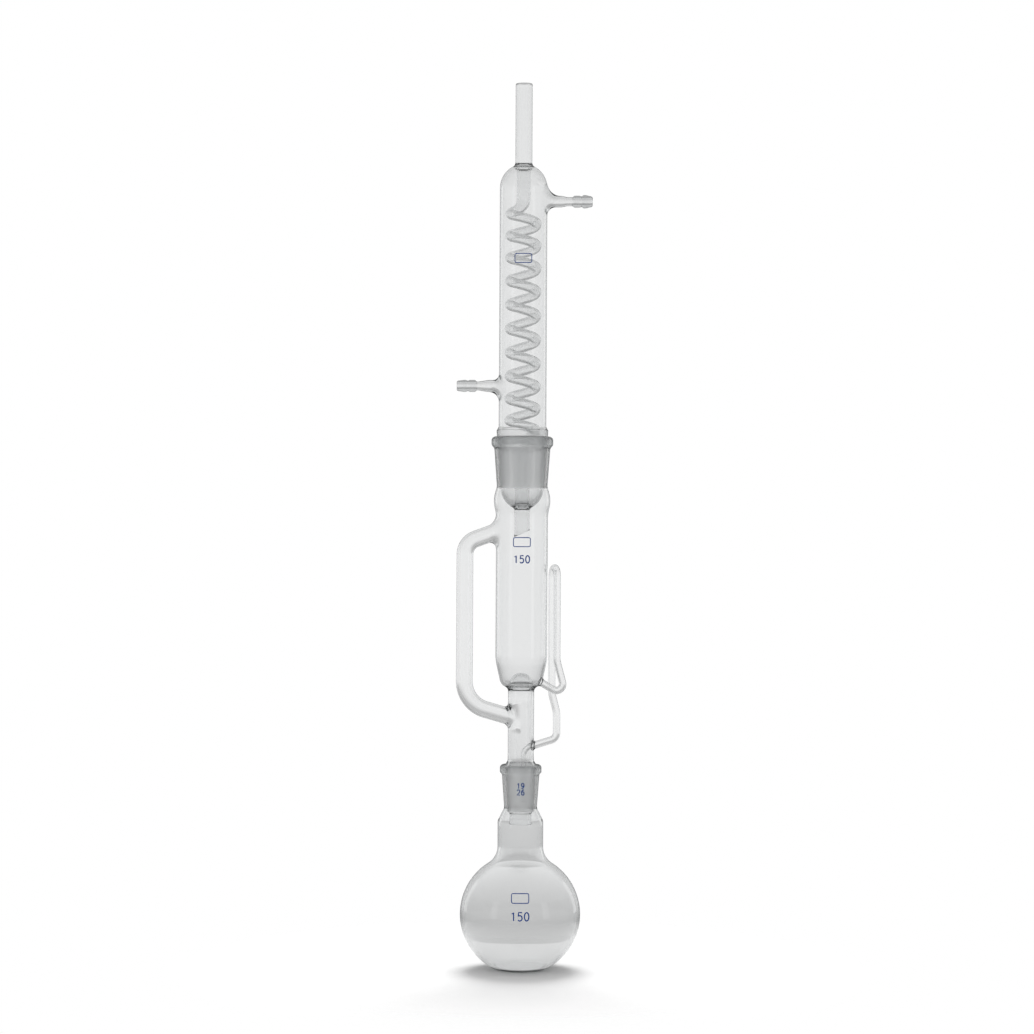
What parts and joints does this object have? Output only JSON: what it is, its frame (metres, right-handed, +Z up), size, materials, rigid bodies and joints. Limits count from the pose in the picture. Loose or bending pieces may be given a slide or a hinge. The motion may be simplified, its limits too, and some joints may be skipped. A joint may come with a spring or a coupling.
{
  "type": "soxhlet extractor",
  "caption": "Glass extraction set: flat-bottomed flask, extraction chamber with vapour arm and siphon, and coil condenser with hose nozzles, standing plugged together.",
  "frame": {"origin": "middle of the flask's flat base, on the surface that it stands on", "axes": "+Z up along the common axis of the three pieces; +X towards the siphon and the upper water nozzle, -X towards the vapour arm; the picture looks along +Y"},
  "size_m": [0.0809, 0.072, 0.531],
  "materials": {
    "clear_glass": "polished",
    "ground_glass": "matte",
    "blue_enamel": "satin"
  },
  "bodies": {
    "root": {"flask": "clear_glass", "extractor": "clear_glass", "condenser": "clear_glass"}
  },
  "joints": []
}
